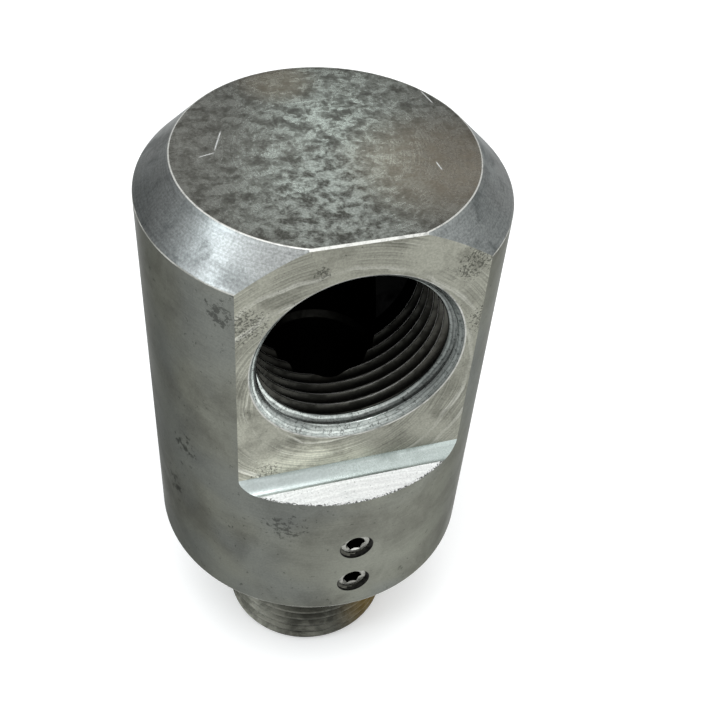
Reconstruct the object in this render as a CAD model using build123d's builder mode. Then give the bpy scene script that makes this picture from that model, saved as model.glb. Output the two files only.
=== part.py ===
from build123d import *
from math import asin, atan, cos, degrees, floor, pi, radians, tan
import os

os.makedirs("parts", exist_ok=True)

# Hydraulic rotary union, in millimetres. The origin is on the rotation axis at
# the end face of the male thread, +Z is up and the side port looks along -Y.

# Diameters, from the oil's way outwards
flow_diameter = 20  # in the rotor, and on through the housing
spigot_wall = 5
journal_step = 3  # from the spigot out to the ball circle
housing_wall = 11  # from the ball circle out to the housing's outside

# Housing, turned from round bar
body_height = 80
top_chamfer_width = 5.7
top_chamfer_height = 6
mouth_bevel = 0.5

# Milled flat that carries the side port
flat_depth = 7  # from the housing's outside to the flat
ledge_height = 31  # from the housing's lower face to the ledge under the flat
ledge_fillet = 2.5

# Side port: female G 1 pipe thread, drilled to the thread's core
port_height = 56.8  # from the housing's lower face to the port's axis
port_core_diameter = 30.3
port_rim_width = 1.85  # from the core out to the countersunk rim
port_rim_depth = 2.5
port_depth = 20
drill_point_angle = 118

# Flow passage in the housing, from the seal bore up to the port
passage_above_port = 6
passage_land = 1.9  # from the last seal's groove to the passage

# Rotor: G 1 male thread, wrench hexagon, ball journal and seal spigot
stub_length = 33  # from the thread's end face to the housing's lower face
thread_diameter = 33.25
thread_length = 19
thread_lead_chamfer = 1.5
undercut_diameter = 29.6
undercut_width = 3
hexagon_across_flats = 36
hexagon_corner_angle = 30
hexagon_gap = 1  # below the housing, so that nothing rubs
journal_height = 22  # from the housing's lower face to the journal's upper end
spigot_end_chamfer = 1
spigot_end_gap = 1
flow_mouth_chamfer = 1

# Ball bearing: two full rows of balls between the housing and the journal
ball_diameter = 4.7625
ball_clearance = 0.1
lower_race_height = 7.75  # from the housing's lower face
race_spacing = 10.25

# M6 screw plugs that close the holes through which the balls are loaded
plug_diameter = 6
plug_recess = 0.8  # from the housing's outside to the plug's outer face
plug_socket_across_flats = 3
plug_socket_depth = 2.8
plug_nose_diameter = 4.7
plug_nose_length = 4.2  # from the plug's thread to the ball circle
plug_gap = 0.05
load_hole_diameter = 4.9

# Fits
running_gap = 0.03  # under every surface that slides
seat_gap = 0.02  # between a ring and its groove
spigot_gap = 0.15  # from the spigot to the seal bore, which the guide ring keeps apart

# Thrust washer between the journal's upper end and the step above it
washer_thickness = 1.5
washer_rim_gap = 0.2

# Guide ring and two rotary seals, each in its own groove of the seal bore
first_land = 1.1
groove_land = 1.4
guide_width = 2.5
guide_thickness = 1.5
guide_split = 1
guide_split_angle = 30
seal_groove_width = 3.2
seal_ring_width = 3
seal_ring_thickness = 1.3
seal_ring_chamfer = 0.3
seal_o_ring_thickness = 2.4  # squeezed, along the radius
seal_o_ring_width = 2.8  # squeezed, along the axis
seal_o_ring_corner = 1.1

# Dust scraper at the housing's mouth
scraper_height = 1.3  # from the housing's lower face to the scraper's groove
scraper_groove_width = 2.6
scraper_thickness = 1.2
scraper_lip_chamfer = 0.7
scraper_o_ring_thickness = 1.5
scraper_o_ring_width = 1.9
scraper_o_ring_corner = 0.7

# Housing and rotor, worked out
flow_radius = flow_diameter / 2
spigot_radius = flow_radius + spigot_wall
pitch_radius = spigot_radius + journal_step
body_radius = pitch_radius + housing_wall
flat_offset = body_radius - flat_depth
body_base = stub_length
body_top = body_base + body_height
ledge_z = body_base + ledge_height
port_z = body_base + port_height
port_core_radius = port_core_diameter / 2
port_rim_radius = port_core_radius + port_rim_width
thread_radius = thread_diameter / 2
undercut_radius = undercut_diameter / 2
point_slope = 1 / tan(radians(drill_point_angle / 2))

# Ball races, worked out
ball_radius = ball_diameter / 2
race_radius = ball_radius + ball_clearance
ball_count = floor(pi / asin(ball_radius / pitch_radius))
journal_radius = pitch_radius - running_gap / 2
journal_bore_radius = pitch_radius + running_gap / 2
lower_race_z = body_base + lower_race_height
races = {"lower": lower_race_z, "upper": lower_race_z + race_spacing}
plug_length = housing_wall - plug_recess - plug_nose_length

# Hexagon, from the thread's undercut to the gap under the housing
hexagon_base = thread_length + undercut_width
hexagon_top = body_base - hexagon_gap
hexagon_radius = hexagon_across_flats / 2
hexagon_reach = hexagon_radius / cos(pi / 6)
hexagon_drop = (hexagon_reach - hexagon_radius) * tan(radians(hexagon_corner_angle))

# Stack of washer, guide ring and seals up the spigot
journal_top = body_base + journal_height
washer_z = journal_top + running_gap
step_z = washer_z + washer_thickness + seat_gap
seal_bore_radius = spigot_radius + spigot_gap
sliding_radius = spigot_radius + running_gap
guide_groove_radius = sliding_radius + guide_thickness + seat_gap
guide_groove_width = guide_width + 2 * seat_gap
guide_z = step_z + first_land
seal_o_ring_radius = sliding_radius + seal_ring_thickness + seat_gap
seal_groove_radius = seal_o_ring_radius + seal_o_ring_thickness + seat_gap
second_seal_z = guide_z + guide_groove_width + groove_land
main_seal_z = second_seal_z + seal_groove_width + groove_land
seals = {"second": second_seal_z, "main": main_seal_z}
seal_bore_top = main_seal_z + seal_groove_width + passage_land
spigot_top = seal_bore_top - spigot_end_gap

# Scraper groove, worked out
scraper_z = body_base + scraper_height
scraper_radius = journal_radius + running_gap
scraper_o_ring_radius = scraper_radius + scraper_thickness + seat_gap
scraper_groove_radius = scraper_o_ring_radius + scraper_o_ring_thickness + seat_gap


def facing_out(distance, height):
    """A plane that looks along -Y, at a distance in front of the axis."""
    return Plane(origin=(0, -distance, height), x_dir=(1, 0, 0), z_dir=(0, -1, 0))


def turn_ring(inner, outer, base, width, mode=Mode.ADD):
    """A turned ring of square section, or with Mode.SUBTRACT its groove."""
    with BuildSketch(Plane.XZ) as section:
        with Locations(((inner + outer) / 2, base + width / 2)):
            Rectangle(outer - inner, width)
    revolve(section.sketch, axis=Axis.Z, mode=mode)


def turn_o_ring(inner, thickness, middle, width, corner):
    """A squeezed O-ring: flat where it presses, round at its corners."""
    with BuildSketch(Plane.XZ) as section:
        with Locations((inner + thickness / 2, middle)):
            RectangleRounded(thickness, width, corner)
    revolve(section.sketch, axis=Axis.Z)


def cut_race(race_z):
    """The round groove in which one row of balls rolls."""
    with BuildSketch(Plane.XZ) as section:
        with Locations((pitch_radius, race_z)):
            Circle(race_radius)
    revolve(section.sketch, axis=Axis.Z, mode=Mode.SUBTRACT)


def save(part, name):
    part.label = name
    export_step(part, f"parts/{name}.step")


# Housing
with BuildPart() as housing:
    with BuildSketch(Plane.XY.offset(body_base)):
        Circle(body_radius)
    extrude(amount=body_height)
    top_face = housing.faces().sort_by(Axis.Z)[-1]
    chamfer(top_face.edges(), top_chamfer_width, top_chamfer_height, reference=top_face)
    chamfer(housing.edges().group_by(Axis.Z)[0], mouth_bevel)

    # The flat, milled down to the ledge by a cutter with a rounded corner
    with BuildSketch(Plane.YZ.offset(-body_radius)):
        with BuildLine():
            Polyline(
                (-flat_offset, body_top),
                (-flat_offset, ledge_z),
                (-2 * body_radius, ledge_z),
                (-2 * body_radius, body_top),
                close=True,
            )
        make_face()
        fillet(vertices().group_by(Axis.Y)[0].sort_by(Axis.X)[-1], ledge_fillet)
    extrude(amount=2 * body_radius, mode=Mode.SUBTRACT)

    # Stepped bore from below: journal, seal bore and flow passage
    with BuildSketch(Plane.XZ):
        with BuildLine():
            Polyline(
                (0, body_base),
                (journal_bore_radius + mouth_bevel, body_base),
                (journal_bore_radius, body_base + mouth_bevel),
                (journal_bore_radius, step_z),
                (seal_bore_radius, step_z),
                (seal_bore_radius, seal_bore_top),
                (flow_radius, seal_bore_top),
                (flow_radius, port_z + passage_above_port),
                (0, port_z + passage_above_port + flow_radius * point_slope),
                close=True,
            )
        make_face()
    revolve(axis=Axis.Z, mode=Mode.SUBTRACT)

    # Grooves for the scraper, the guide ring and the two seals
    turn_ring(journal_radius, scraper_groove_radius, scraper_z, scraper_groove_width, Mode.SUBTRACT)
    turn_ring(spigot_radius, guide_groove_radius, guide_z, guide_groove_width, Mode.SUBTRACT)
    for groove_z in seals.values():
        turn_ring(spigot_radius, seal_groove_radius, groove_z, seal_groove_width, Mode.SUBTRACT)

    # Side port: countersunk rim, thread core and the drill's point behind it
    rim_slope = port_rim_width / port_rim_depth
    with Locations(facing_out(flat_offset, port_z)):
        CounterSinkHole(
            radius=port_core_radius,
            counter_sink_radius=port_rim_radius,
            depth=port_depth,
            counter_sink_angle=2 * degrees(atan(rim_slope)),
        )
    point_length = port_core_radius * point_slope
    with Locations(-facing_out(flat_offset - port_depth - point_length / 2, port_z)):
        Cone(port_core_radius, 0, point_length, mode=Mode.SUBTRACT)

    # Ball races, and the threaded holes through which the balls are loaded
    for race_z in races.values():
        cut_race(race_z)
        with Locations(facing_out(body_radius, race_z)):
            CounterBoreHole(
                radius=load_hole_diameter / 2,
                counter_bore_radius=plug_diameter / 2,
                counter_bore_depth=plug_recess + plug_length + plug_gap,
                depth=housing_wall,
            )
save(housing.part, "housing")

# Rotor
with BuildPart() as rotor:
    # Wrench hexagon, with its corners turned off on both faces
    with BuildSketch(Plane.XY.offset(hexagon_base)):
        RegularPolygon(hexagon_radius, 6, major_radius=False)
    extrude(amount=hexagon_top - hexagon_base)
    with BuildSketch(Plane.XZ):
        with BuildLine():
            Polyline(
                (0, hexagon_base),
                (hexagon_radius, hexagon_base),
                (2 * hexagon_reach - hexagon_radius, hexagon_base + 2 * hexagon_drop),
                (2 * hexagon_reach - hexagon_radius, hexagon_top - 2 * hexagon_drop),
                (hexagon_radius, hexagon_top),
                (0, hexagon_top),
                close=True,
            )
        make_face()
    revolve(axis=Axis.Z, mode=Mode.INTERSECT)

    # Thread, undercut, ball journal and seal spigot
    with BuildSketch(Plane.XZ):
        with BuildLine():
            Polyline(
                (0, 0),
                (thread_radius - thread_lead_chamfer, 0),
                (thread_radius, thread_lead_chamfer),
                (thread_radius, thread_length),
                (undercut_radius, thread_length),
                (undercut_radius, hexagon_top),
                (journal_radius, hexagon_top),
                (journal_radius, journal_top),
                (spigot_radius, journal_top),
                (spigot_radius, spigot_top - spigot_end_chamfer),
                (spigot_radius - spigot_end_chamfer, spigot_top),
                (0, spigot_top),
                close=True,
            )
        make_face()
    revolve(axis=Axis.Z)
    for race_z in races.values():
        cut_race(race_z)

    # Flow bore, open at both ends
    with BuildSketch(Plane.XZ):
        with BuildLine():
            Polyline(
                (0, 0),
                (flow_radius + flow_mouth_chamfer, 0),
                (flow_radius, flow_mouth_chamfer),
                (flow_radius, spigot_top - flow_mouth_chamfer),
                (flow_radius + flow_mouth_chamfer, spigot_top),
                (0, spigot_top),
                close=True,
            )
        make_face()
    revolve(axis=Axis.Z, mode=Mode.SUBTRACT)
save(rotor.part, "rotor")

# Ball rows, each a full complement of loose balls
for row, race_z in races.items():
    with BuildPart() as ball_row:
        with Locations((0, 0, race_z)):
            with PolarLocations(pitch_radius, ball_count):
                Sphere(ball_radius)
    save(ball_row.part, f"{row}_ball_row")

# Ball plugs: hexagon socket outside, and a nose that completes the race
for row, race_z in races.items():
    with BuildPart() as ball_plug:
        outer_face = facing_out(body_radius - plug_recess, race_z)
        with BuildSketch(outer_face):
            Circle(plug_diameter / 2 - plug_gap)
        extrude(amount=-plug_length)
        with BuildSketch(outer_face):
            Circle(plug_nose_diameter / 2)
        extrude(amount=plug_recess - housing_wall)
        cut_race(race_z)
        with BuildSketch(outer_face):
            RegularPolygon(plug_socket_across_flats / 2, 6, major_radius=False)
        extrude(amount=-plug_socket_depth, mode=Mode.SUBTRACT)
    save(ball_plug.part, f"{row}_ball_plug")

# Thrust washer
with BuildPart() as thrust_washer:
    washer_hole_radius = spigot_radius + washer_rim_gap
    turn_ring(washer_hole_radius, journal_bore_radius - washer_rim_gap, washer_z, washer_thickness)
save(thrust_washer.part, "thrust_washer")

# Guide ring, with a slanting split so that it snaps into its groove
with BuildPart() as guide_ring:
    turn_ring(sliding_radius, sliding_radius + guide_thickness, guide_z + seat_gap, guide_width)
    with Locations((0, sliding_radius + guide_thickness / 2, guide_z + guide_width / 2)):
        Box(
            guide_split,
            2 * guide_thickness,
            2 * guide_width,
            rotation=(0, guide_split_angle, 0),
            mode=Mode.SUBTRACT,
        )
save(guide_ring.part, "guide_ring")

# Rotary seals: a sliding ring on the spigot, pressed by an O-ring behind it
for seal, groove_z in seals.items():
    groove_middle = groove_z + seal_groove_width / 2
    with BuildPart() as seal_ring:
        with BuildSketch(Plane.XZ):
            with Locations((sliding_radius + seal_ring_thickness / 2, groove_middle)):
                Rectangle(seal_ring_thickness, seal_ring_width)
            chamfer(vertices(), seal_ring_chamfer)
        revolve(axis=Axis.Z)
    save(seal_ring.part, f"{seal}_seal_ring")

    with BuildPart() as seal_o_ring:
        turn_o_ring(
            seal_o_ring_radius,
            seal_o_ring_thickness,
            groove_middle,
            seal_o_ring_width,
            seal_o_ring_corner,
        )
    save(seal_o_ring.part, f"{seal}_seal_o_ring")

# Dust scraper, with its lip at the bottom, and the O-ring that presses it
scraper_middle = scraper_z + scraper_groove_width / 2
with BuildPart() as dust_scraper:
    with BuildSketch(Plane.XZ):
        with Locations((scraper_radius + scraper_thickness / 2, scraper_middle)):
            Rectangle(scraper_thickness, scraper_groove_width - 2 * seat_gap)
        chamfer(vertices().group_by(Axis.X)[0].sort_by(Axis.Y)[-1], scraper_lip_chamfer)
    revolve(axis=Axis.Z)
save(dust_scraper.part, "dust_scraper")

with BuildPart() as scraper_o_ring:
    turn_o_ring(
        scraper_o_ring_radius,
        scraper_o_ring_thickness,
        scraper_middle,
        scraper_o_ring_width,
        scraper_o_ring_corner,
    )
save(scraper_o_ring.part, "scraper_o_ring")
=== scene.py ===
import math

import bmesh
import bpy
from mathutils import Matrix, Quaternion, Vector


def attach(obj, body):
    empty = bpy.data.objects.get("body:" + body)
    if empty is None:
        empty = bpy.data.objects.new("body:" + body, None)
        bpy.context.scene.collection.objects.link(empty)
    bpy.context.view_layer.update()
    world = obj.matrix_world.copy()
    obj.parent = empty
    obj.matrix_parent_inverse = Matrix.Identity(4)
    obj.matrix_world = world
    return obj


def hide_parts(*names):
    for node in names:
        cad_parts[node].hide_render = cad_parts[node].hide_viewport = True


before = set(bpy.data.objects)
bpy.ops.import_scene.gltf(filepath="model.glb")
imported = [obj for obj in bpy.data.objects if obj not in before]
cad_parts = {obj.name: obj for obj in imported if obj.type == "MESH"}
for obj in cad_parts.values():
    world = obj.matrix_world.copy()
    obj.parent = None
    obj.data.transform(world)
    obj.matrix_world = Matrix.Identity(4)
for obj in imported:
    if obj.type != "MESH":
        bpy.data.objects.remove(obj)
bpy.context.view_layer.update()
mm = 0.001
edgeSlot = 1  # the material slot that softEdges gives to its new faces
hair = 0.01  # mm, how far a point may lie from a known place and still be at it
tip = 0.02  # mm, the radius left where a turned piece comes to a point
weld = {"turned": 0.0005, "thread": 0.002, "finished": 0.0004}  # mm, nearer points become one
print("frame loaded")

# Camera, at the photograph's view
cameraView = {
    "place": (-40.04, -128.79, 205.97),
    "target": (6.514, -2.399, 70.075),
    "roll": 4.947,  # degrees, clockwise seen from behind the camera
    "lens": 54.72,
}


def addCamera(view):
    place, target = Vector(view["place"]) * mm, Vector(view["target"]) * mm
    bpy.ops.object.camera_add(location=place)
    camera = bpy.context.object
    camera.rotation_mode = "QUATERNION"
    roll = Quaternion((0, 0, 1), math.radians(view["roll"]))
    camera.rotation_quaternion = (place - target).to_track_quat("Z", "Y") @ roll
    camera.data.lens = view["lens"]
    camera.data.clip_start = 1 * mm
    camera.data.clip_end = 10
    bpy.context.scene.camera = camera


addCamera(cameraView)


# Ways to make a mesh
def onlyActive(obj):
    bpy.ops.object.select_all(action="DESELECT")
    obj.select_set(True)
    bpy.context.view_layer.objects.active = obj


def editAll(obj):
    onlyActive(obj)
    bpy.ops.object.mode_set(mode="EDIT")
    bpy.ops.mesh.select_mode(type="VERT")
    bpy.ops.mesh.select_all(action="SELECT")


def closeEdit():
    bpy.ops.object.mode_set(mode="OBJECT")


def setPlace(obj):
    onlyActive(obj)
    bpy.ops.object.transform_apply(location=True, rotation=True, scale=True)


def applyAll(obj):
    onlyActive(obj)
    for modifier in list(obj.modifiers):
        bpy.ops.object.modifier_apply(modifier=modifier.name)


def turnPiece(name, outline, steps=256):
    # a turned solid: each (radius, height) of the outline is one more ring, drawn out of the last
    radius, height = outline[0]
    bpy.ops.object.select_all(action="DESELECT")
    bpy.ops.mesh.primitive_circle_add(
        vertices=steps, radius=radius * mm, fill_type="NGON", location=(0, 0, height * mm)
    )
    obj = bpy.context.object
    obj.name = obj.data.name = name
    editAll(obj)
    for nextRadius, nextHeight in outline[1:]:
        bpy.ops.mesh.extrude_region_move(
            TRANSFORM_OT_translate={"value": (0, 0, (nextHeight - height) * mm)}
        )
        grow = nextRadius / radius
        bpy.ops.transform.resize(value=(grow, grow, 1), center_override=(0, 0, nextHeight * mm))
        radius, height = nextRadius, nextHeight
    bpy.ops.mesh.select_all(action="SELECT")
    bpy.ops.mesh.remove_doubles(threshold=weld["turned"] * mm)
    bpy.ops.mesh.normals_make_consistent(inside=False)
    closeEdit()
    setPlace(obj)
    return obj


def addBlock(name, low, high):
    size = Vector(high) - Vector(low)
    bpy.ops.object.select_all(action="DESELECT")
    bpy.ops.mesh.primitive_cube_add(size=mm, location=(Vector(low) + Vector(high)) * mm / 2)
    obj = bpy.context.object
    obj.name = obj.data.name = name
    obj.scale = size
    setPlace(obj)
    return obj


pipeThread = {
    "rounding": 0.137329,  # in pitches, as is the depth
    "depth": 0.640327,
    "flank": 62.5,  # degrees that each rounding turns through, to meet the flank
    "steps": 3,
}


def threadOutline(crest, pitch):
    # one turn of a 55 degree pipe thread, from crest to crest, as (radius, height)
    radius, steps = pipeThread["rounding"] * pitch, pipeThread["steps"]
    flank, root = math.radians(pipeThread["flank"]), crest - pipeThread["depth"] * pitch
    angles = [flank * k / steps for k in range(-steps, steps + 1)]
    rounding = [(radius * (1 - math.cos(a)), radius * math.sin(a)) for a in angles]
    top = [(crest - x, z) for x, z in rounding[steps:]]
    floor = [(root + x, pitch / 2 + z) for x, z in rounding]
    return top + floor + [(x, pitch - z) for x, z in reversed(top)]


def screwRod(name, crest, pitch, low, high, phase=0, steps=120):
    # a threaded rod along Z: one turn of its outline, wound up with the Screw modifier
    outline = threadOutline(crest, pitch)
    base = (math.floor(low / pitch) - 2 + phase) * pitch
    turns = math.ceil((high - base) / pitch) + 1
    bpy.ops.object.select_all(action="DESELECT")
    bpy.ops.mesh.primitive_circle_add(vertices=3, radius=mm, location=(crest * mm, 0, base * mm))
    obj = bpy.context.object
    obj.name = obj.data.name = name
    setPlace(obj)
    editAll(obj)
    bpy.ops.mesh.merge(type="CENTER")
    for (r0, z0), (r1, z1) in zip(outline, outline[1:]):
        bpy.ops.mesh.extrude_vertices_move(
            TRANSFORM_OT_translate={"value": ((r1 - r0) * mm, 0, (z1 - z0) * mm)}
        )
    closeEdit()
    wind = obj.modifiers.new("wind", "SCREW")
    wind.axis = "Z"
    wind.screw_offset = pitch * mm
    wind.iterations = turns
    wind.steps = wind.render_steps = steps
    applyAll(obj)
    editAll(obj)
    bpy.ops.mesh.remove_doubles(threshold=weld["thread"] * mm)
    for height, below in ((low, True), (high, False)):
        bpy.ops.mesh.select_all(action="SELECT")
        bpy.ops.mesh.bisect(
            plane_co=(0, 0, height * mm),
            plane_no=(0, 0, 1),
            use_fill=True,
            clear_inner=below,
            clear_outer=not below,
            threshold=0.00001 * mm,  # the default is coarser than the thread
        )
    bpy.ops.mesh.select_all(action="SELECT")
    bpy.ops.mesh.normals_make_consistent(inside=False)
    closeEdit()
    return obj


def combine(target, tool, operation):
    step = target.modifiers.new("combine", "BOOLEAN")
    step.operation = operation
    step.solver = "EXACT"
    step.object = tool
    applyAll(target)
    bpy.data.objects.remove(tool)


def faceFront(obj, distance, height):
    # turns a piece made along +Z so that it looks out of the flat, along -Y
    obj.rotation_euler = (math.pi / 2, 0, 0)
    obj.location = (0, -distance * mm, height * mm)
    setPlace(obj)


def softEdges(obj, width, where=None, angle=35):
    # breaks the sharp edges, all of them or those at the places that where() names,
    # and gives the new faces the second slot, for the bright look of a broken edge
    onlyActive(obj)
    bpy.ops.object.mode_set(mode="EDIT")
    bpy.ops.mesh.select_mode(type="EDGE")
    bpy.ops.mesh.select_all(action="DESELECT")
    mesh = bmesh.from_edit_mesh(obj.data)
    for edge in mesh.edges:
        sharp = edge.is_manifold and edge.calc_face_angle() > math.radians(angle)
        edge.select_set(sharp and (where is None or all(where(v.co / mm) for v in edge.verts)))
    bmesh.update_edit_mesh(obj.data)
    bpy.ops.mesh.bevel(
        offset=width * mm, segments=2, affect="EDGES", clamp_overlap=True, material=edgeSlot
    )
    closeEdit()


def finishShading(obj, angle=32):
    editAll(obj)
    bpy.ops.mesh.remove_doubles(threshold=weld["finished"] * mm)
    closeEdit()
    onlyActive(obj)
    bpy.ops.object.shade_smooth_by_angle(angle=math.radians(angle))
    even = obj.modifiers.new("even", "WEIGHTED_NORMAL")
    even.keep_sharp = True
    applyAll(obj)


def addSlots(obj):
    for name in ("plainSlot", "edgeSlot"):
        obj.data.materials.append(bpy.data.materials.get(name) or bpy.data.materials.new(name))


# Housing
housing = {
    "radius": 29,
    "topRadius": 23.3,
    "base": 33,
    "shoulder": 107,
    "top": 113,
    "mouthBevel": 0.5,
    "flat": 22,  # from the axis
    "ledge": 64,
    "ledgeFillet": 2.5,
    "edge": 0.13,  # how far the sharp edges are broken
    "chordEdge": 0.3,  # the same for the edge between the top and the flat
    "boreBevel": 1.5,  # how far the bore's mouth is opened below the base, to clear it
}
cutters = {"side": 40, "front": 60, "top": 130}  # the cutting blocks end well outside the housing
port = {
    "height": 89.8,
    "core": 15.15,
    "crest": 16.625,
    "pitch": 2.309,
    "depth": 20,
    "threadEnd": 18.2,  # from the flat
    "phase": 0.35,  # of a turn, where the thread starts
    "rims": ((17.0, 0), (16.15, 0.75), (15.6, 1.5), (15.15, 2.5)),  # radius and depth
}
drillPoint = 118  # degrees
bore = {
    "journal": 18.015,
    "seal": 15.15,
    "flow": 10,
    "step": 56.55,
    "sealTop": 71.29,
    "flowTop": 95.8,
    "scraper": (34.3, 2.6, 20.755),  # each groove's lower side, width and radius
    "guide": (57.65, 2.54, 16.55),
    "seals": ((61.59, 3.2, 18.77), (66.19, 3.2, 18.77)),
    "races": (40.75, 51.0),
}
bearing = {
    "pitchRadius": 18,
    "grooveRadius": 2.48,
    "roundShare": 0.998,  # of the half round, so that no two points of a race fall together
}
plug = {
    "recess": 0.8,
    "length": 6,
    "nose": 10.2,
    "noseRadius": 2.35,
    "ends": ((2.1, -6.2), (3.1, -5.2), (3.1, -0.55), (2.55, 0)),
    "crest": 2.95,
    "holeCrest": 3,
    "holeDepth": 6.85,
    "holeOutline": ((2.45, -12), (2.45, -0.7), (3.0, -0.15), (3.0, 1)),
    "pitch": 1,
    "socket": 3,  # across flats
    "socketDepth": 2.8,
    "drill": ((tip, -3.6), (1.45, -2.78), (1.4, -1)),
    "mouth": ((1.35, -0.4), (1.9, 0.15), (1.9, 1)),
}


def portReach(p):
    return math.hypot(p.x, p.z - port["height"])


def drilledEnd(radius, depth):
    # the last two points of a drilled hole's outline
    reach = 1 / math.tan(math.radians(drillPoint / 2))
    return [(radius, depth), (tip, depth + radius * reach)]


def grooves(bore, rings):
    # a bore's outline with square grooves let into it: each ring is (low, width, radius)
    outline = []
    for low, width, radius in rings:
        outline += [(bore, low), (radius, low), (radius, low + width), (bore, low + width)]
    return outline


def race(middle, side, steps=10):
    # the half round of a ball race, side 1 in the housing and side -1 in the journal
    angles = [math.pi * (k / steps - 0.5) * bearing["roundShare"] for k in range(steps + 1)]
    pitchRadius, radius = bearing["pitchRadius"], bearing["grooveRadius"]
    return [
        (pitchRadius + side * radius * math.cos(a), middle + radius * math.sin(a)) for a in angles
    ]


def chordBlock(width):
    # takes the corner off the edge between the top and the flat
    depth, side = 5, cutters["side"]
    block = addBlock("chordBlock", (-side, -depth, -depth), (side, depth, depth))
    block.rotation_euler = (math.pi / 4, 0, 0)
    out = depth / math.sqrt(2) - width / 2
    block.location = (0, (-housing["flat"] - out) * mm, (housing["top"] + out) * mm)
    setPlace(block)
    return block


def atPortMouth(p):
    return p.y < -housing["flat"] + hair and abs(portReach(p) - port["rims"][0][0]) < hair


def millFlat(body):
    # the flat and its ledge, with a fillet between them
    h, side = housing, cutters["side"]
    low = (-side, -cutters["front"], h["ledge"])
    cutter = addBlock("flatCutter", low, (side, -h["flat"], cutters["top"]))
    onlyActive(cutter)
    bpy.ops.object.mode_set(mode="EDIT")
    bpy.ops.mesh.select_all(action="DESELECT")
    closeEdit()
    for edge in cutter.data.edges:
        ends = [cutter.data.vertices[v].co / mm for v in edge.vertices]
        edge.select = all(
            abs(end.y + h["flat"]) < hair and abs(end.z - h["ledge"]) < hair for end in ends
        )
    bpy.ops.object.mode_set(mode="EDIT")
    bpy.ops.mesh.select_mode(type="EDGE")
    bpy.ops.mesh.bevel(offset=h["ledgeFillet"] * mm, segments=10, affect="EDGES")
    closeEdit()
    combine(body, cutter, "DIFFERENCE")


def drillPort(body):
    hole = [(port["rims"][0][0], -1), *port["rims"], *drilledEnd(port["core"], port["depth"])]
    cutter = turnPiece("portCutter", [(radius, -depth) for radius, depth in reversed(hole)])
    faceFront(cutter, housing["flat"], port["height"])
    combine(body, cutter, "DIFFERENCE")


def drillLoadHoles(body):
    for middle in bore["races"]:
        hole = turnPiece("loadCutter", plug["holeOutline"], 64)
        faceFront(hole, housing["radius"], middle)
        combine(body, hole, "DIFFERENCE")


def turnBore(body):
    b, base, bevel = bore, housing["base"], housing["mouthBevel"]
    inside = [
        (b["journal"] + housing["boreBevel"], base - 1),
        (b["journal"] + bevel, base),
        (b["journal"], base + bevel),
    ]
    inside += grooves(b["journal"], [b["scraper"]])
    for middle in b["races"]:
        inside += race(middle, 1)
    inside += [(b["journal"], b["step"]), (b["seal"], b["step"])]
    inside += grooves(b["seal"], [b["guide"], *b["seals"]])
    inside += [(b["seal"], b["sealTop"]), (b["flow"], b["sealTop"])]
    inside += drilledEnd(b["flow"], b["flowTop"])
    combine(body, turnPiece("boreCutter", inside), "DIFFERENCE")


def tapHoles(body):
    p = port
    tap = screwRod("tap", p["crest"], p["pitch"], -p["threadEnd"], 1.0, p["phase"])
    faceFront(tap, housing["flat"], p["height"])
    combine(body, tap, "DIFFERENCE")
    for middle in bore["races"]:
        tap = screwRod("tap", plug["holeCrest"], plug["pitch"], -plug["holeDepth"], 1.2, steps=36)
        faceFront(tap, housing["radius"], middle)
        combine(body, tap, "DIFFERENCE")


def makeHousing():
    h = housing
    outside = [
        (h["radius"] - 1, h["base"]),
        (h["radius"] - h["mouthBevel"], h["base"]),
        (h["radius"], h["base"] + h["mouthBevel"]),
        (h["radius"], h["shoulder"]),
        (h["topRadius"], h["top"]),
        (h["topRadius"] - 1, h["top"]),
    ]
    body = turnPiece("housingShell", outside)
    addSlots(body)
    softEdges(body, h["edge"])  # before the cuts, whose short edges would hold the bevel back
    millFlat(body)
    drillPort(body)
    drillLoadHoles(body)
    softEdges(body, h["edge"], atPortMouth)
    combine(body, chordBlock(h["chordEdge"]), "DIFFERENCE")
    turnBore(body)
    tapHoles(body)
    finishShading(body)
    return body


shell = makeHousing()
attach(shell, "housing")
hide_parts("housing")
print("housing", len(shell.data.polygons), "faces")


# Rotor
rotor = {
    "crest": 16.625,
    "pitch": 2.309,
    "threadEnd": 19,
    "lead": ((15.125, 0), (16.9, 1.775), (16.9, 17.6), (15.2, 19.3), (15.2, 20)),
    "neck": (14.8, 30),  # the radius under the journal, and the height where the journal starts
    "journal": (17.985, 55),
    "spigot": ((15, 55), (15, 69.29), (14, 70.29)),
    "hexagon": {"low": 22, "high": 32, "acrossFlats": 36, "drop": 1.608},
    "bore": ((12, -1), (10, 1), (10, 69.29), (12, 71.29)),
    "edge": 0.12,
    "edgesFrom": 19.2,  # the thread's own edges, below this height, stay as they are
}


def hexPrism(name, acrossFlats, low, high):
    # corners on the X axis
    bpy.ops.object.select_all(action="DESELECT")
    bpy.ops.mesh.primitive_cylinder_add(
        vertices=6,
        radius=acrossFlats / math.sqrt(3) * mm,
        depth=(high - low) * mm,
        location=(0, 0, (low + high) / 2 * mm),
        rotation=(0, 0, math.pi / 2),
    )
    obj = bpy.context.object
    obj.name = obj.data.name = name
    setPlace(obj)
    return obj


def turnedHexagon():
    # a hexagon with its corners turned off at both ends
    x = rotor["hexagon"]
    flat, corner = x["acrossFlats"] / 2, x["acrossFlats"] / math.sqrt(3)
    wide = 2 * corner - flat
    prism = hexPrism("hexagon", x["acrossFlats"], x["low"], x["high"])
    turned = [
        (flat - 0.2, x["low"] - 0.001),
        (flat, x["low"]),
        (wide, x["low"] + 2 * x["drop"]),
        (wide, x["high"] - 2 * x["drop"]),
        (flat, x["high"]),
        (flat - 0.2, x["high"] + 0.001),
    ]
    combine(prism, turnPiece("hexTurning", turned), "INTERSECT")
    return prism


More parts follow.
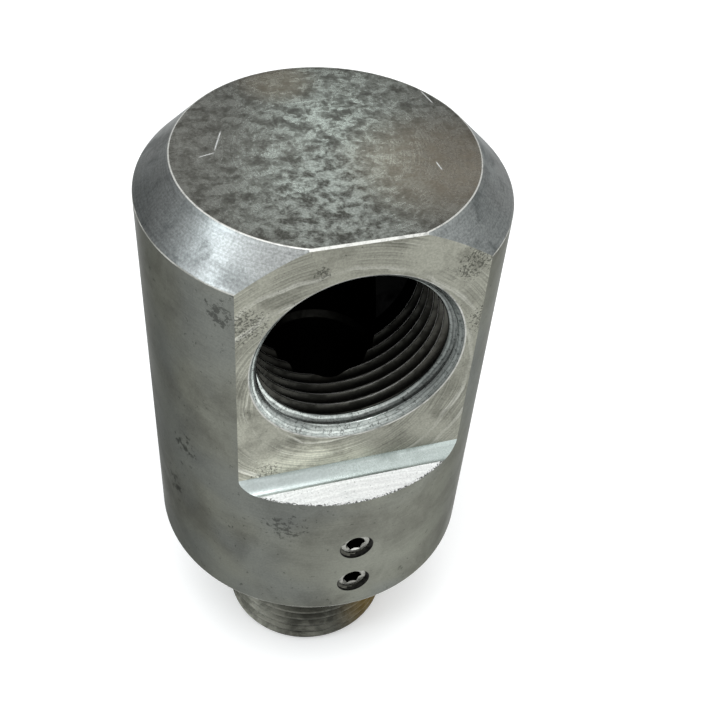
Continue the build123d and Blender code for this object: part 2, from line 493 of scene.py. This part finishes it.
def makeRotor():
    r = rotor
    neck, journalStart = r["neck"]
    journal, journalEnd = r["journal"]
    shaft = [(neck, 0), (neck, journalStart), (journal, journalStart)]
    for middle in bore["races"]:
        shaft += race(middle, -1)
    shaft += [(journal, journalEnd), *r["spigot"]]
    body = turnPiece("rotorShaft", shaft)
    addSlots(body)
    combine(body, turnedHexagon(), "UNION")
    thread = screwRod("stubThread", r["crest"], r["pitch"], -1, r["threadEnd"])
    combine(thread, turnPiece("lead", r["lead"]), "INTERSECT")
    combine(body, thread, "UNION")
    combine(body, turnPiece("flowCutter", r["bore"]), "DIFFERENCE")
    mouth = r["bore"][0][0]
    softEdges(
        body, r["edge"], lambda p: p.z > r["edgesFrom"] or (p.z < hair and p.xy.length < mouth)
    )
    finishShading(body)
    return body


stub = makeRotor()
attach(stub, "rotor")
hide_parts("rotor")
print("rotor", len(stub.data.polygons), "faces")


# Ball plugs
def makePlug(name, middle):
    g = plug
    body = screwRod(name, g["crest"], g["pitch"], -g["length"], 1, phase=g["recess"], steps=36)
    combine(body, turnPiece("plugTurning", g["ends"], 64), "INTERSECT")
    nose = ((g["noseRadius"], -g["nose"]), (g["noseRadius"], -g["length"] + 0.5))
    combine(body, turnPiece("nose", nose, 64), "UNION")
    socket = hexPrism("socket", g["socket"], -g["socketDepth"], 1)
    combine(body, socket, "DIFFERENCE")
    combine(body, turnPiece("drillPoint", g["drill"], 48), "DIFFERENCE")
    combine(body, turnPiece("mouth", g["mouth"], 48), "DIFFERENCE")
    faceFront(body, housing["radius"] - g["recess"], middle)
    bpy.ops.object.select_all(action="DESELECT")
    bpy.ops.mesh.primitive_torus_add(
        major_radius=bearing["pitchRadius"] * mm,
        minor_radius=bearing["grooveRadius"] * mm,
        major_segments=256,
        minor_segments=48,
        location=(0, 0, middle * mm),
    )
    ring = bpy.context.object
    setPlace(ring)
    combine(body, ring, "DIFFERENCE")
    finishShading(body)
    return body


plugs = []
for row, middle in zip(("lower", "upper"), bore["races"]):
    piece = makePlug(row + "Plug", middle)
    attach(piece, "housing")
    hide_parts(row + "_ball_plug")
    plugs.append(piece)
print("plugs", [len(piece.data.polygons) for piece in plugs])


# Finishes
def addNode(tree, kind, inputs=None, **settings):
    node = tree.nodes.new("ShaderNode" + kind)
    for name, value in settings.items():
        setattr(node, name, value)
    for name, value in (inputs or {}).items():
        if isinstance(value, bpy.types.NodeSocket):
            tree.links.new(value, node.inputs[name])
        else:
            node.inputs[name].default_value = value
    return node


def newFinish(name):
    material = bpy.data.materials.new(name)
    material.use_nodes = True
    material.node_tree.nodes.clear()
    return material, material.node_tree


def rgb(color):
    return (*color, 1)


def noise(tree, points, size, detail=3, rough=0.55, distortion=0, offset=(0, 0, 0)):
    # a value from 0 to 1, in patches of that size in mm
    moved = addNode(tree, "Mapping", {"Vector": points, "Location": offset})
    inputs = {"Vector": moved.outputs[0], "Scale": 1 / size, "Detail": detail}
    inputs |= {"Roughness": rough, "Distortion": distortion}
    return addNode(tree, "TexNoise", inputs).outputs["Fac"]


def ramp(tree, value, low, high, first=0, last=1, smooth=True):
    inputs = {"Value": value, "From Min": low, "From Max": high, "To Min": first, "To Max": last}
    kind = "SMOOTHSTEP" if smooth else "LINEAR"
    return addNode(tree, "MapRange", inputs, interpolation_type=kind).outputs[0]


def math2(tree, operation, a, b):
    node = addNode(tree, "Math", operation=operation)
    for socket, value in zip(node.inputs, (a, b)):
        if isinstance(value, bpy.types.NodeSocket):
            tree.links.new(value, socket)
        else:
            socket.default_value = value
    return node.outputs[0]


def mixColor(tree, share, a, b, blend="MIX"):
    node = addNode(tree, "Mix", data_type="RGBA", blend_type=blend)
    for socket, value in zip((node.inputs[0], node.inputs[6], node.inputs[7]), (share, a, b)):
        if isinstance(value, bpy.types.NodeSocket):
            tree.links.new(value, socket)
        else:
            socket.default_value = value
    return node.outputs[2]


def distance(tree, points, place):
    node = addNode(tree, "VectorMath", {0: points, 1: place}, operation="DISTANCE")
    return node.outputs["Value"]


def flatDistance(tree, points, center, directions):
    # the distance from a point, counting only the directions given as 1
    moved = addNode(tree, "VectorMath", {0: points, 1: center}, operation="SUBTRACT")
    inputs = {0: moved.outputs[0], 1: directions}
    plane = addNode(tree, "VectorMath", inputs, operation="MULTIPLY")
    node = addNode(tree, "VectorMath", {0: plane.outputs[0]}, operation="LENGTH")
    return node.outputs["Value"]


def toolMarks(tree, points, marks, low=0.3, high=0.7):
    # fine lines left by the tool: by radius or height round the axis, or in arcs on the flat
    if marks["kind"] == "height":
        along = addNode(tree, "SeparateXYZ", {"Vector": points}).outputs[2]
    else:
        directions = (1, 1, 0) if marks["kind"] == "rings" else (1, 0, 1)
        along = flatDistance(tree, points, marks.get("center", (0, 0, 0)), directions)
    wobble = noise(tree, points, 9)
    place = math2(tree, "ADD", along, math2(tree, "MULTIPLY", wobble, marks["pitch"] * 2))
    inputs = {"W": place, "Scale": 1 / marks["pitch"], "Detail": 2.5, "Roughness": 0.6}
    lines = addNode(tree, "TexNoise", inputs, noise_dimensions="1D").outputs["Fac"]
    return ramp(tree, lines, low, high)


def nearPoints(tree, points, places):
    # 1 at the named places, fading to 0 at their radius
    total = 0
    for x, y, z, radius in places:
        near = ramp(tree, distance(tree, points, (x, y, z)), radius * 0.3, radius, 1, 0)
        total = math2(tree, "MAXIMUM", total, near)
    return total


def scratchLines(tree, points, scratches):
    # thin straight scratches on the top: each is its middle, its length and its angle
    halfWidth = (0.06, 0.15)  # mm, where a line starts and ends to fade
    total = 0
    for x, y, length, angle in scratches:
        inputs = {"Vector": points, "Location": (x, y, 0), "Rotation": (0, 0, math.radians(angle))}
        local = addNode(tree, "Mapping", inputs, vector_type="TEXTURE").outputs[0]
        local = addNode(tree, "SeparateXYZ", {0: local})
        across = ramp(tree, math2(tree, "ABSOLUTE", local.outputs[1], 0), *halfWidth, 1, 0)
        along = math2(tree, "ABSOLUTE", local.outputs[0], 0)
        line = math2(
            tree, "MULTIPLY", across, ramp(tree, along, length * 0.3, length * 0.5, 1, 0)
        )
        total = math2(tree, "MAXIMUM", total, line)
    return total


# What the steels share, where a look doesn't say otherwise. The sizes are in mm.
plainLook = {
    "fray": 0.62,
    "curl": 0.6,
    "tintShare": 0.5,
    "speckle": 0.15,
    "grainHeight": 0.004,
    "metal": 1.0,
    "rim": 0.8,
}
clouds = {"size": 22, "offset": (31, 7, 12), "edge": (0.42, 0.62), "placedShare": 0.55}
grainSize = 0.35
lineGloss = {"share": 0.4, "edge": (0.6, 0.68), "color": (0.75, 0.75, 0.68)}
stainDepth = 0.15  # how far a stain brings the spots forward
scratchColor = (0.95, 0.95, 0.93)


def mottle(tree, points, look):
    # dark and light patches, veins between them, and a tint in clouds or at its own places
    blotch = noise(tree, points, look["patch"], 6, look["fray"], look["curl"])
    clean = ramp(tree, blotch, *look["patchEdge"])
    cloud = noise(tree, points, clouds["size"], 2, 0.5, 0.3, clouds["offset"])
    color = mixColor(tree, clean, rgb(look["dark"]), rgb(look["light"]))
    if "veins" in look:
        veins = look["veins"]
        away = math2(tree, "SUBTRACT", blotch, veins["level"])
        away = math2(tree, "ABSOLUTE", away, 0)
        share = ramp(tree, away, 0, veins["width"], veins["share"], 0)
        color = mixColor(tree, share, color, rgb(veins["color"]))
    if "tintAt" in look:
        tinted = nearPoints(tree, points, look["tintAt"])
        tinted = math2(tree, "MULTIPLY", tinted, clouds["placedShare"])
    else:
        tinted = ramp(tree, cloud, *clouds["edge"], 0, look["tintShare"])
    return mixColor(tree, tinted, color, rgb(look["tint"])), clean, cloud


def cutMarks(tree, points, marks, color, toneScale, height):
    # the tool's lines, dark and raised, and bright lines between them where they are patchy
    lines = toolMarks(tree, points, marks)
    if "patchy" in marks:
        strong = ramp(tree, noise(tree, points, marks["patchy"], 2), 0.4, 0.6, 0.15, 1)
        lines = math2(tree, "MULTIPLY", lines, strong)
        brightMarks = marks | {"pitch": marks["brightPitch"]}
        bright = toolMarks(tree, points, brightMarks, *lineGloss["edge"])
        share = math2(tree, "MULTIPLY", bright, strong)
        share = math2(tree, "MULTIPLY", share, lineGloss["share"])
        color = mixColor(tree, share, color, rgb(lineGloss["color"]))
    toneScale = math2(tree, "MULTIPLY", toneScale, ramp(tree, lines, 0, 1, 1, 1 - marks["shade"]))
    height = math2(tree, "ADD", height, math2(tree, "MULTIPLY", lines, marks["height"]))
    return color, toneScale, height


def darkSpots(tree, points, look):
    # small dark spots, more of them at the stains and outside a given radius
    spots = look["spots"]
    level = noise(tree, points, spots["size"], 4, 0.7, 0.2, (3, 17, 5))
    if "stains" in look:
        near = nearPoints(tree, points, look["stains"])
        level = math2(tree, "SUBTRACT", level, math2(tree, "MULTIPLY", near, stainDepth))
    if "wornRadius" in look:
        out = flatDistance(tree, points, (0, 0, 0), (1, 1, 0))
        worn = ramp(tree, out, *look["wornRadius"], 0, 0.25)
        level = math2(tree, "SUBTRACT", level, worn)
    return ramp(tree, level, spots["edge"], spots["edge"] + 0.08, 1 - spots["shade"], 1)


def makeSteel(name, look):
    material, tree = newFinish(name)
    place = addNode(tree, "TexCoord").outputs["Object"]
    points = addNode(tree, "Mapping", {"Vector": place, "Scale": (1000, 1000, 1000)}).outputs[0]
    color, clean, cloud = mottle(tree, points, look)
    grain = noise(tree, points, grainSize, 2, 0.6)
    toneScale = ramp(tree, grain, 0.25, 0.75, 1 - look["speckle"], 1)
    height = math2(tree, "MULTIPLY", grain, look["grainHeight"])
    if "marks" in look:
        color, toneScale, height = cutMarks(tree, points, look["marks"], color, toneScale, height)
    if "spots" in look:
        toneScale = math2(tree, "MULTIPLY", toneScale, darkSpots(tree, points, look))
    # painted highlight: the colour made brighter round the glow's place
    if "glow" in look:
        glow = nearPoints(tree, points, (look["glow"]["place"],))
        toneScale = math2(tree, "MULTIPLY", toneScale, ramp(tree, glow, 0, 1, 1, look["glow"]["shade"]))
    # painted light and shade: the colour made lighter or darker along an axis, standing in for how
    # the lamps fall on the surface
    for axis, low, high, first, last in look.get("paintedLightSlopes", ()):
        along = addNode(tree, "VectorMath", {0: points, 1: axis}, operation="DOT_PRODUCT")
        paintedSlope = ramp(tree, along.outputs["Value"], low, high, first, last, smooth=False)
        toneScale = math2(tree, "MULTIPLY", toneScale, paintedSlope)
    # the tone scale holds the grain's specks, the tool marks, the spots and the painted light and
    # shade, and darkens or lightens the colour with them
    shade = addNode(tree, "CombineColor", {"Red": toneScale, "Green": toneScale, "Blue": toneScale})
    color = mixColor(tree, 1.0, color, shade.outputs[0], "MULTIPLY")
    if "scratches" in look:
        scratched = scratchLines(tree, points, look["scratches"])
        color = mixColor(tree, scratched, color, rgb(scratchColor))
    rough = ramp(tree, clean, 0, 1, look["rough"][1], look["rough"][0])
    rough = math2(tree, "ADD", rough, ramp(tree, cloud, 0.3, 0.7, -0.04, 0.05))
    bump = addNode(tree, "Bump", {"Strength": 1.0, "Distance": mm, "Height": height})
    inputs = {
        "Base Color": color,
        "Metallic": look["metal"],
        "Roughness": rough,
        "Normal": bump.outputs[0],
        "Specular Tint": rgb((look["rim"],) * 3),
    }
    if "stretch" in look:
        inputs["Anisotropic"] = look["stretch"]
        turn = addNode(tree, "Tangent", direction_type="RADIAL", axis="Z")
        inputs["Tangent"] = turn.outputs[0]
    shader = addNode(tree, "BsdfPrincipled", inputs)
    addNode(tree, "OutputMaterial", {"Surface": shader.outputs[0]})
    return material


# dark, light, tint: the colours of the patches and of the clouds over them
# patch, patchEdge: the patches' size, and the noise levels between which dark turns to light
# rough: the least and the most roughness, in the light and in the dark patches
# tintAt, stains, glow place (a painted highlight): x, y, z and radius
# paintedLightSlopes: painted light and shade, given as an axis, two places along it, and the shade
# at each of the two
# spots: the size of the spots, the noise level below which they show, and how dark they are
# stretch: how far the gloss is drawn out round the axis
# rim: how bright the steel is where it is seen at a slant
steelLooks = {
    # the bright wear of a broken edge; on the upper plug's mouth it is a painted highlight
    "brokenEdgeAndHighlight": {
        "dark": (0.42, 0.42, 0.4),
        "light": (0.72, 0.72, 0.68),
        "tint": (0.8, 0.8, 0.76),
        "patch": 1.2,
        "patchEdge": (0.35, 0.5),
        "rough": (0.4, 0.5),
        "metal": 0.6,
    },
    "wornEdge": {
        "dark": (0.22, 0.22, 0.2),
        "light": (0.5, 0.5, 0.47),
        "tint": (0.4, 0.4, 0.37),
        "patch": 3,
        "patchEdge": (0.35, 0.6),
        "rough": (0.36, 0.46),
    },
    "filletSteel": {
        "dark": (0.36, 0.41, 0.39),
        "light": (0.5, 0.56, 0.54),
        "tint": (0.46, 0.5, 0.5),
        "patch": 4,
        "patchEdge": (0.3, 0.6),
        "rough": (0.26, 0.34),
    },
    "facedTop": {
        "dark": (0.147, 0.143, 0.126),
        "light": (0.43, 0.433, 0.395),
        "tint": (0.42, 0.36, 0.28),
        "tintAt": ((15, -7, 113, 17), (-3, 20, 113, 8)),
        "patch": 2.4,
        "patchEdge": (0.36, 0.61),
        "fray": 0.75,
        "curl": 0.2,
        "veins": {"level": 0.57, "width": 0.012, "share": 0.35, "color": (0.6, 0.61, 0.58)},
        "rough": (0.24, 0.36),
        "stretch": 0.75,
        "speckle": 0.3,
        "grainHeight": 0.005,
        "marks": {"kind": "rings", "pitch": 0.4, "height": 0.002, "shade": 0.08},
        "scratches": (
            (-17.6, 2.2, 3, 15),
            (-15.3, 5.4, 5.8, 68),
            (15.2, -7.4, 2.4, 95),
            (19.6, 10.7, 4.4, 101),
        ),
    },
    "turnedChamfer": {
        "dark": (0.228, 0.248, 0.245),
        "light": (0.405, 0.43, 0.425),
        "tint": (0.36, 0.35, 0.34),
        "tintShare": 0.35,
        "patch": 5,
        "patchEdge": (0.3, 0.55),
        "rough": (0.32, 0.4),
        "stretch": 0.4,
        "rim": 0.5,
        "speckle": 0.35,
        "grainHeight": 0.016,
        "marks": {"kind": "height", "pitch": 0.3, "height": 0.002, "shade": 0.15},
        # painted shade: the chamfer darker towards the left
        "paintedLightSlopes": (((1, 0, 0), -28, -20, 0.5, 1),),
    },
    "turnedSide": {
        "dark": (0.115, 0.115, 0.1),
        "light": (0.195, 0.2, 0.172),
        "tint": (0.16, 0.17, 0.165),
        "patch": 11,
        "patchEdge": (0.22, 0.68),
        "curl": 0.35,
        "rough": (0.34, 0.44),
        "stretch": 0.25,
        "rim": 0.35,
        "grainHeight": 0.004,
        "marks": {"kind": "height", "pitch": 0.35, "height": 0.001, "shade": 0.06},
        "spots": {"size": 1.2, "edge": 0.3, "shade": 0.5},
        "stains": (
            (-20.3, -20.7, 102.5, 4),
            (-18.2, -22.6, 106, 3),
            (-11.7, -26.5, 57.4, 5),
            (-25.9, -13, 67, 4),
            (-27.6, -8.8, 53.2, 4),
        ),
        # painted light and shade: the side lighter towards the right and a little darker at the far
        # left
        "paintedLightSlopes": (((1, 0, 0), -8, 12, 1, 1.65), ((1, 0, 0), -29, -23, 0.85, 1)),
    },
    "milledFlat": {
        "dark": (0.21, 0.21, 0.175),
        "light": (0.36, 0.362, 0.305),
        "tint": (0.31, 0.31, 0.26),
        "patch": 7,
        "patchEdge": (0.32, 0.55),
        "curl": 0.3,
        "rough": (0.36, 0.46),
        "speckle": 0.25,
        "grainHeight": 0.006,
        "marks": {
            "kind": "arcs",
            "center": (-3, 0, 84),
            "pitch": 0.42,
            "height": 0.006,
            "shade": 0.32,
            "patchy": 12,
            "brightPitch": 1.7,
        },
        "spots": {"size": 0.45, "edge": 0.3, "shade": 0.6},
        "stains": (
            (15.7, -22, 105, 3),
            (20, -22, 95, 5),
            (16.8, -22, 107, 4),
            (-17.4, -22, 101, 5),
            (-6.5, -22, 108.5, 2),
            (-14, -22, 67, 4),
        ),
        # painted shade: the flat a little lighter at the far left and darker over the rest
        "paintedLightSlopes": (((1, 0, 0), -20, -10, 1.05, 0.85),),
        # painted highlight: the lower part of the flat made brighter round this place
        "glow": {"place": (-7, -22, 61, 17), "shade": 2.7},
    },
    # partly the milled finish and partly painted light: nearly white and barely metallic, so far
    # lighter than the top, which faces the same way
    "milledLedge": {
        "dark": (0.9, 0.91, 0.9),
        "light": (1.0, 1.0, 0.99),
        "tint": (0.95, 0.97, 0.96),
        "patch": 5,
        "patchEdge": (0.3, 0.5),
        "rough": (0.5, 0.6),
        "metal": 0.08,
        "speckle": 0.2,
        "grainHeight": 0.006,
        "marks": {
            "kind": "rings",
            "center": (0, -90, 0),
            "pitch": 0.6,
            "height": 0.002,
            "shade": 0.15,
        },
        "spots": {"size": 0.35, "edge": 0.3, "shade": 0.9},
        # more dark spots towards the ledge's outer edge
        "wornRadius": (28.2, 29.3),
    },
    "portRim": {
        "dark": (0.58, 0.64, 0.61),
        "light": (0.84, 0.9, 0.86),
        "tint": (0.52, 0.57, 0.55),
        "patch": 1.0,
        "patchEdge": (0.35, 0.55),
        "rough": (0.3, 0.4),
        "speckle": 0.3,
        "grainHeight": 0.01,
        "marks": {
            "kind": "arcs",
            "center": (0, 0, 89.8),
            "pitch": 0.3,
            "height": 0.008,
            "shade": 0.55,
        },
        "spots": {"size": 0.7, "edge": 0.36, "shade": 0.6},
        # painted shade: the rim darker towards the right
        "paintedLightSlopes": (((1, 0, 0), -2, 13, 1, 0.3),),
    },
    # painted shade: the thread in the port nearly black, for the shade inside it, and darker still
    # deeper in
    "cutThreadShade": {
        "dark": (0.03, 0.03, 0.026),
        "light": (0.08, 0.08, 0.07),
        "tint": (0.07, 0.065, 0.055),
        "patch": 3,
        "patchEdge": (0.35, 0.6),
        "rough": (0.3, 0.42),
        "grainHeight": 0.006,
        "paintedLightSlopes": (((0, 1, 0), -20, -7, 1, 0.25),),
    },
    # painted highlight: the thread's crests lighter than its flanks, with painted shade deeper into
    # the port and painted light towards the right
    "threadCrestHighlight": {
        "dark": (0.4, 0.4, 0.38),
        "light": (0.8, 0.8, 0.76),
        "tint": (0.2, 0.19, 0.17),
        "patch": 2,
        "patchEdge": (0.35, 0.6),
        "rough": (0.3, 0.42),
        "metal": 0.5,
        "paintedLightSlopes": (((0, 1, 0), -19, -5, 1, 0.35), ((1, 0, 0), -6, 8, 0.35, 1)),
    },
    # painted shade: near black, for the shade in the load holes and in the plugs' sockets
    "loadHoleShade": {
        "dark": (0.004, 0.004, 0.004),
        "light": (0.015, 0.015, 0.013),
        "tint": (0.01, 0.01, 0.008),
        "patch": 1,
        "patchEdge": (0.35, 0.6),
        "rough": (0.4, 0.5),
    },
    # painted shade: black, for the shade deep in the port past its thread
    "deepBoreShade": {
        "dark": (0.001, 0.001, 0.001),
        "light": (0.004, 0.004, 0.004),
        "tint": (0.002, 0.002, 0.002),
        "patch": 4,
        "patchEdge": (0.35, 0.6),
        "rough": (0.5, 0.6),
        "rim": 0.1,
    },
    # painted shade: near black, for the shade inside the bores
    "boreShade": {
        "dark": (0.006, 0.006, 0.005),
        "light": (0.02, 0.02, 0.018),
        "tint": (0.014, 0.012, 0.01),
        "patch": 4,
        "patchEdge": (0.35, 0.6),
        "rough": (0.45, 0.55),
    },
    "turnedStub": {
        "dark": (0.05, 0.05, 0.042),
        "light": (0.1, 0.1, 0.085),
        "tint": (0.2, 0.13, 0.03),
        "tintAt": ((13, -10, 8, 14),),
        "patch": 4,
        "patchEdge": (0.35, 0.6),
        "rough": (0.3, 0.42),
        "stretch": 0.3,
        "grainHeight": 0.006,
        "spots": {"size": 0.5, "edge": 0.28, "shade": 0.8},
        "stains": ((12.5, -11, 5, 2),),
        # painted highlight: the stub lighter towards the left
        "paintedLightSlopes": (((1, 0, 0), -17, -6, 2.4, 1),),
    },
    "plugSteel": {
        "dark": (0.1, 0.1, 0.09),
        "light": (0.34, 0.34, 0.31),
        "tint": (0.12, 0.12, 0.12),
        "patch": 1.2,
        "patchEdge": (0.35, 0.6),
        "rough": (0.3, 0.42),
        "grainHeight": 0.006,
    },
    "ballSteel": {
        "dark": (0.5, 0.5, 0.5),
        "light": (0.66, 0.66, 0.66),
        "tint": (0.6, 0.6, 0.58),
        "patch": 2,
        "patchEdge": (0.3, 0.6),
        "rough": (0.1, 0.16),
        "grainHeight": 0.0004,
    },
    "turnedBronze": {
        "dark": (0.36, 0.23, 0.1),
        "light": (0.6, 0.42, 0.2),
        "tint": (0.5, 0.36, 0.2),
        "patch": 3,
        "patchEdge": (0.3, 0.6),
        "rough": (0.28, 0.4),
        "marks": {"kind": "rings", "pitch": 0.3, "height": 0.002, "shade": 0.1},
    },
    "guidePtfe": {
        "dark": (0.2, 0.14, 0.08),
        "light": (0.33, 0.25, 0.16),
        "tint": (0.28, 0.2, 0.12),
        "patch": 1,
        "patchEdge": (0.3, 0.6),
        "rough": (0.45, 0.55),
        "metal": 0,
    },
    "sealPtfe": {
        "dark": (0.05, 0.055, 0.06),
        "light": (0.12, 0.13, 0.14),
        "tint": (0.09, 0.1, 0.11),
        "patch": 1,
        "patchEdge": (0.3, 0.6),
        "rough": (0.4, 0.5),
        "metal": 0,
    },
    "nitrileRubber": {
        "dark": (0.018, 0.018, 0.018),
        "light": (0.035, 0.035, 0.035),
        "tint": (0.03, 0.03, 0.028),
        "patch": 1.5,
        "patchEdge": (0.3, 0.6),
        "rough": (0.5, 0.65),
        "metal": 0,
    },
    "scraperPlastic": {
        "dark": (0.06, 0.13, 0.26),
        "light": (0.1, 0.2, 0.35),
        "tint": (0.09, 0.18, 0.3),
        "patch": 2,
        "patchEdge": (0.3, 0.6),
        "rough": (0.35, 0.45),
        "metal": 0,
    },
}
finishes = {name: makeSteel(name, plainLook | look) for name, look in steelLooks.items()}


def paint(obj, rules):
    # the first rule that a face's middle and normal meet gives the face its finish
    mesh = obj.data
    broken = {face.index for face in mesh.polygons if face.material_index == edgeSlot}
    names = list(dict.fromkeys(name for name, _ in rules))
    mesh.materials.clear()
    for name in names:
        mesh.materials.append(finishes[name])
    for face in mesh.polygons:
        middle, normal = face.center / mm, face.normal
        for name, test in rules:
            if (face.index in broken) if test == "broken" else test(middle, normal):
                face.material_index = names.index(name)
                break


def shellRules():
    # finish and where it goes: p is the face's middle, in mm, and n its normal
    flat, top, ledge = -housing["flat"], housing["top"], housing["ledge"]
    front, wall = -housing["radius"], housing["radius"] - 0.1
    shoulder, topRadius = housing["shoulder"] - 0.1, housing["topRadius"]
    rim, core, threadEnd = port["rims"][0][0] + 0.2, port["core"], flat + port["threadEnd"]
    inside = 21  # a little wider than the bore's widest groove
    seal, base = bore["sealTop"] + hair, housing["base"] + hair
    holeRadius, holeEnd = plug["holeOutline"][-1][0] + 0.2, -bearing["pitchRadius"] - 2

    def inLoadHole(p, n):
        near = any(math.hypot(p.x, p.z - middle) < holeRadius for middle in bore["races"])
        return near and p.y < holeEnd

    def onChord(p, n):
        return p.z > top - 0.4 and p.y < flat + 0.4 and n.y < -0.4 and n.z > 0.4 and abs(n.x) < 0.05

    def onTopEdge(p, n):
        return p.z > top - 0.4 and p.xy.length > topRadius - 0.3 and 0.75 < n.z < 0.985

    def onChamfer(p, n):
        return p.z > shoulder and p.xy.length > topRadius - 0.2 and n.z > 0.3

    def onCrest(p, n):
        return p.y < threadEnd + 0.1 and portReach(p) < core + 0.25 and abs(n.y) < 0.5

    def onThread(p, n):
        return p.y < threadEnd + 0.8 and core - 0.05 < portReach(p) < rim - 0.1 and n.y > -0.9

    def pastThread(p, n):
        return p.y > threadEnd - 0.4 and p.xy.length < inside and seal < p.z < top - 1

    def onFillet(p, n):
        return p.y < flat + 0.1 and 0.05 < n.z < 0.99 and ledge - 0.1 < p.z < ledge + 2.6

    def onFlat(p, n):
        return p.y < flat + 0.2 and n.y < -0.3 and p.xy.length < wall and p.z > ledge

    return [
        # painted shade at the load holes' mouths
        ("loadHoleShade", lambda p, n: inLoadHole(p, n) and p.y < front + 0.6),
        ("turnedStub", inLoadHole),
        ("brokenEdgeAndHighlight", onChord),
        ("brokenEdgeAndHighlight", onTopEdge),
        ("wornEdge", "broken"),
        ("facedTop", lambda p, n: p.z > top - 0.2 and n.z > 0.9),
        ("turnedChamfer", onChamfer),
        ("portRim", lambda p, n: p.y < flat + 3.5 and portReach(p) < rim and -0.93 < n.y < 0.6),
        # painted shade deep in the port
        ("deepBoreShade", pastThread),
        # painted highlight on the thread's crests
        ("threadCrestHighlight", onCrest),
        # painted shade on the port's thread
        ("cutThreadShade", onThread),
        ("milledLedge", lambda p, n: p.y < flat and n.z > 0.98 and p.z < ledge + 0.1),
        ("filletSteel", onFillet),
        ("milledFlat", onFlat),
        # painted shade inside the housing's bore
        ("boreShade", lambda p, n: p.xy.length < inside and base < p.z < top - 1),
        ("turnedSide", lambda p, n: True),
    ]


def plugRules():
    front, betweenPlugs = -housing["radius"], sum(bore["races"]) / 2
    face, socketRadius = front + 1.4, plug["socket"] / 2 + 0.3

    def onSocketWall(p, n):
        reach = min(math.hypot(p.x, p.z - middle) for middle in bore["races"])
        return p.y < front + 4 and reach < socketRadius

    def onLitMouth(p, n):
        # painted highlight: only the upper plug's mouth catches the light, so only it is painted
        # bright
        return p.z > betweenPlugs and n.z > 0.6 and n.y < -0.4 and p.y < face

    return [
        ("brokenEdgeAndHighlight", onLitMouth),
        ("plugSteel", lambda p, n: n.y < -0.3 and p.y < face),
        # painted shade in the sockets
        ("loadHoleShade", onSocketWall),
        ("turnedStub", lambda p, n: True),
    ]


stubRules = [
    ("wornEdge", "broken"),
    # painted shade inside the rotor's bore
    ("boreShade", lambda p, n: p.xy.length < rotor["bore"][0][0] - 0.5),
    ("turnedStub", lambda p, n: True),
]
paint(shell, shellRules())
paint(stub, stubRules)
for piece in plugs:
    paint(piece, plugRules())
nodeFinishes = {
    "upper_ball_row": "ballSteel",
    "lower_ball_row": "ballSteel",
    "thrust_washer": "turnedBronze",
    "guide_ring": "guidePtfe",
    "main_seal_ring": "sealPtfe",
    "second_seal_ring": "sealPtfe",
    "main_seal_o_ring": "nitrileRubber",
    "second_seal_o_ring": "nitrileRubber",
    "scraper_o_ring": "nitrileRubber",
    "dust_scraper": "scraperPlastic",
}
for node, name in nodeFinishes.items():
    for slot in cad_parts[node].material_slots:
        slot.material = finishes[name]
print("finishes", len(finishes))

# Floor, world and lamps
studio = {
    "floorSize": 6,
    "floorColor": (0.92, 0.92, 0.92),
    "floorLift": 0.22,  # added for the camera and for reflections, so that the floor is white
    "world": (0.99, 1, 1),
    "worldLevels": (0.27, 1.15),  # at the dark side and at the bright side
    "worldSpread": (-0.6, 0.8),
    "brightSide": (-0.2, -0.8, 0.55),
    "lampTarget": (0, 0, 70),
}
lamps = {
    "key": {"place": (-0.7, -0.08, 0.55), "size": 0.24, "watts": 1.0, "color": (0.88, 0.95, 1)},
    "back": {"place": (0.17, 0.54, 0.52), "size": 0.1, "watts": 0.09, "color": (0.85, 1, 1)},
    "above": {"place": (-0.12, -0.3, 1.05), "size": 0.35, "watts": 3.4, "color": (0.97, 0.99, 1)},
}


def makeFloor():
    bpy.ops.object.select_all(action="DESELECT")
    bpy.ops.mesh.primitive_plane_add(size=studio["floorSize"])
    floor = bpy.context.object
    floor.name = "floor"
    material, tree = newFinish("floorWhite")
    matte = addNode(tree, "BsdfDiffuse", {"Color": rgb(studio["floorColor"])})
    path = addNode(tree, "LightPath")
    seen = math2(tree, "MAXIMUM", path.outputs["Is Camera Ray"], path.outputs["Is Glossy Ray"])
    seen = math2(tree, "MAXIMUM", seen, path.outputs["Is Transmission Ray"])
    lift = math2(tree, "MULTIPLY", seen, studio["floorLift"])
    glow = addNode(tree, "Emission", {"Strength": lift})
    both = addNode(tree, "AddShader", {0: matte.outputs[0], 1: glow.outputs[0]})
    addNode(tree, "OutputMaterial", {"Surface": both.outputs[0]})
    floor.data.materials.append(material)


def makeWorld():
    # a soft room: bright towards the front and above, darker behind the object
    world = bpy.data.worlds.new("studio")
    bpy.context.scene.world = world
    world.use_nodes = True
    tree = world.node_tree
    tree.nodes.clear()
    look = addNode(tree, "TexCoord").outputs["Generated"]
    toward = addNode(
        tree, "VectorMath", {0: look, 1: studio["brightSide"]}, operation="DOT_PRODUCT"
    ).outputs["Value"]
    level = ramp(tree, toward, *studio["worldSpread"], *studio["worldLevels"], smooth=False)
    room = addNode(tree, "Background", {"Color": rgb(studio["world"]), "Strength": level})
    addNode(tree, "OutputWorld", {"Surface": room.outputs[0]})


def makeLamps():
    target = Vector(studio["lampTarget"]) * mm
    for name, lamp in lamps.items():
        place = Vector(lamp["place"])
        bpy.ops.object.light_add(type="AREA", location=place)
        light = bpy.context.object
        light.name = name
        light.rotation_mode = "QUATERNION"
        light.rotation_quaternion = (place - target).to_track_quat("Z", "Y")
        light.data.size = lamp["size"]
        light.data.energy = lamp["watts"]
        light.data.color = lamp["color"]


makeFloor()
makeWorld()
makeLamps()
bpy.context.scene.view_settings.view_transform = "Standard"
print("studio")
